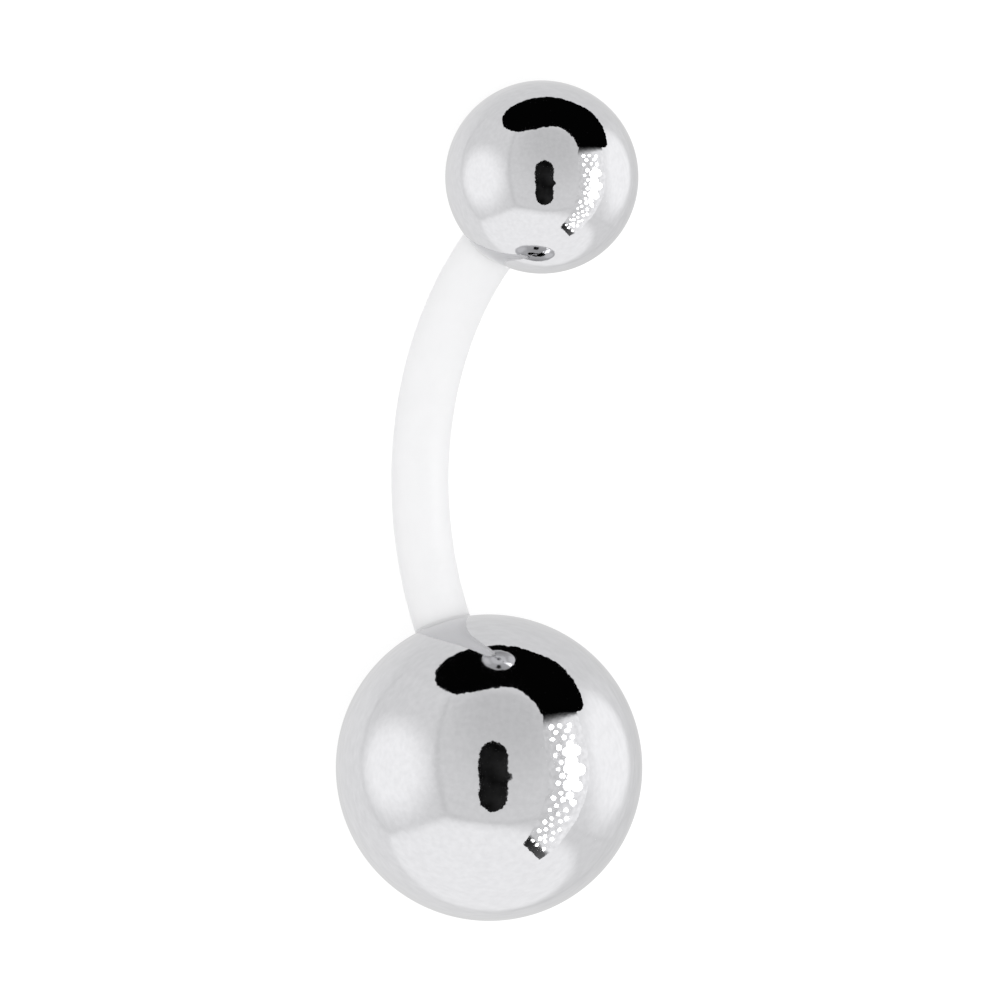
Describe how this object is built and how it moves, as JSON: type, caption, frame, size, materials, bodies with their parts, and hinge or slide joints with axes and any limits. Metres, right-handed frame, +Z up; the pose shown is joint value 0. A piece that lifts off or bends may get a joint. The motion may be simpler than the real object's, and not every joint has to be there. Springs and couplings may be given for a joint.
{
  "type": "navel ring",
  "caption": "Curved navel ring: a white flexible plastic bar bowed between a large and a small mirror-polished steel ball that screw onto its ends.",
  "frame": {"origin": "centre of the outline on the surface that the ring lies on", "axes": "+Y along the ring's length towards the small ball, +Z up from the surface, and the bar's bow leans towards -X and down"},
  "size_m": [0.008, 0.022, 0.008],
  "materials": {
    "bar_plastic": "satin",
    "ball_steel": "polished"
  },
  "bodies": {
    "bar": {"bar": "bar_plastic"},
    "large_ball": {"large_ball": "ball_steel"},
    "small_ball": {"small_ball": "ball_steel"}
  },
  "joints": [
    {"name": "large_ball_unscrews", "type": "slide", "parent": "bar", "child": "large_ball", "axis": [0.3481, -0.821, 0.4526], "range_m": [0, 0.0055]},
    {"name": "small_ball_unscrews", "type": "slide", "parent": "bar", "child": "small_ball", "axis": [0.4086, 0.8398, 0.3575], "range_m": [0, 0.004]}
  ]
}
